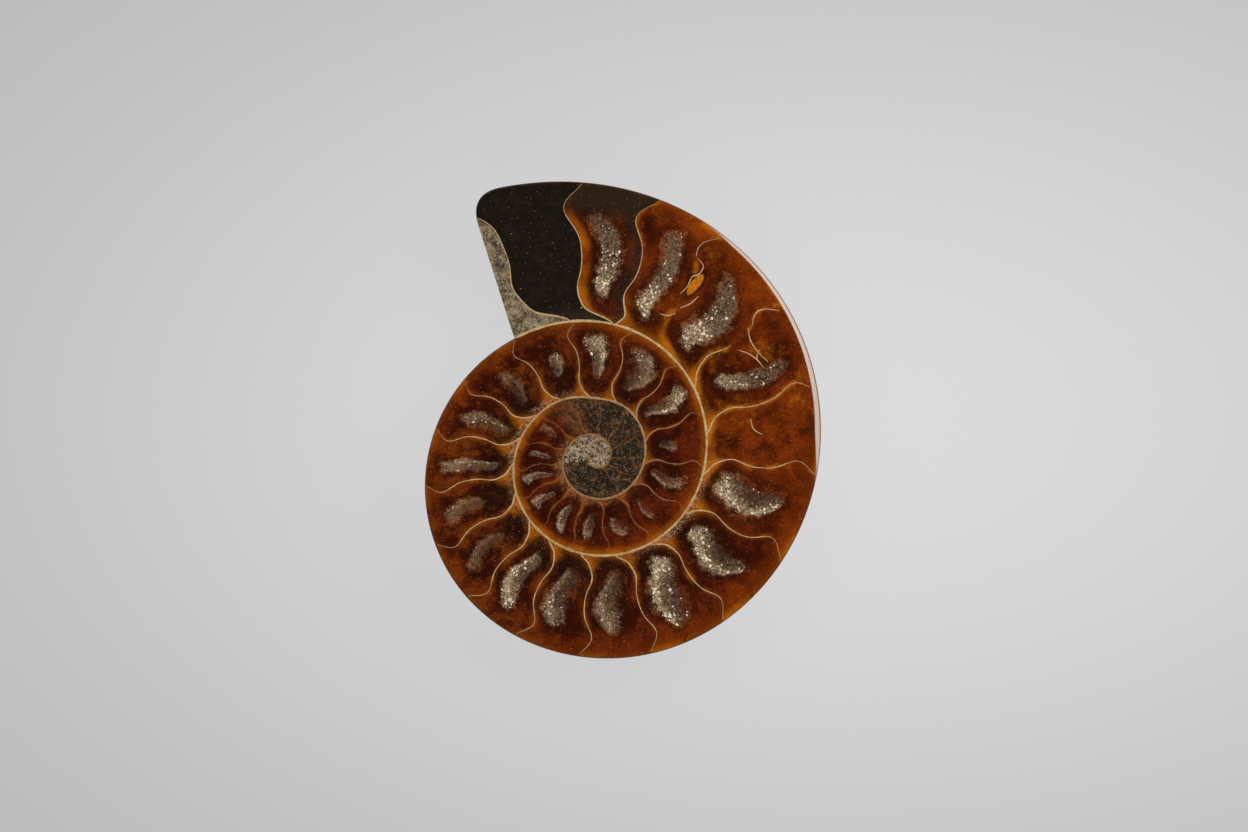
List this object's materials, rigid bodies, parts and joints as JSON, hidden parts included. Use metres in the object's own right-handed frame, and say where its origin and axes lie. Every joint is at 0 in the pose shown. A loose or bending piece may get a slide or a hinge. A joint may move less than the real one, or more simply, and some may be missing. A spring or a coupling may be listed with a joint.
{
  "type": "ammonite fossil",
  "caption": "Half of a coiled ammonite fossil, sawn through its plane of coiling: flat polished face with a spiral of crystal-lined chambers, rounded natural flank.",
  "frame": {"origin": "below the middle of the outline, at the level of the surface that the flank rests on", "axes": "+Z out of the polished cut face, +Y along the outline's longest extent, towards the side of the broken mouth"},
  "size_m": [0.0496, 0.0596, 0.0085],
  "materials": {
    "fossil_stone": "polished cut face, satin natural flank"
  },
  "bodies": {
    "root": {"ammonite_half": "fossil_stone"}
  },
  "joints": []
}
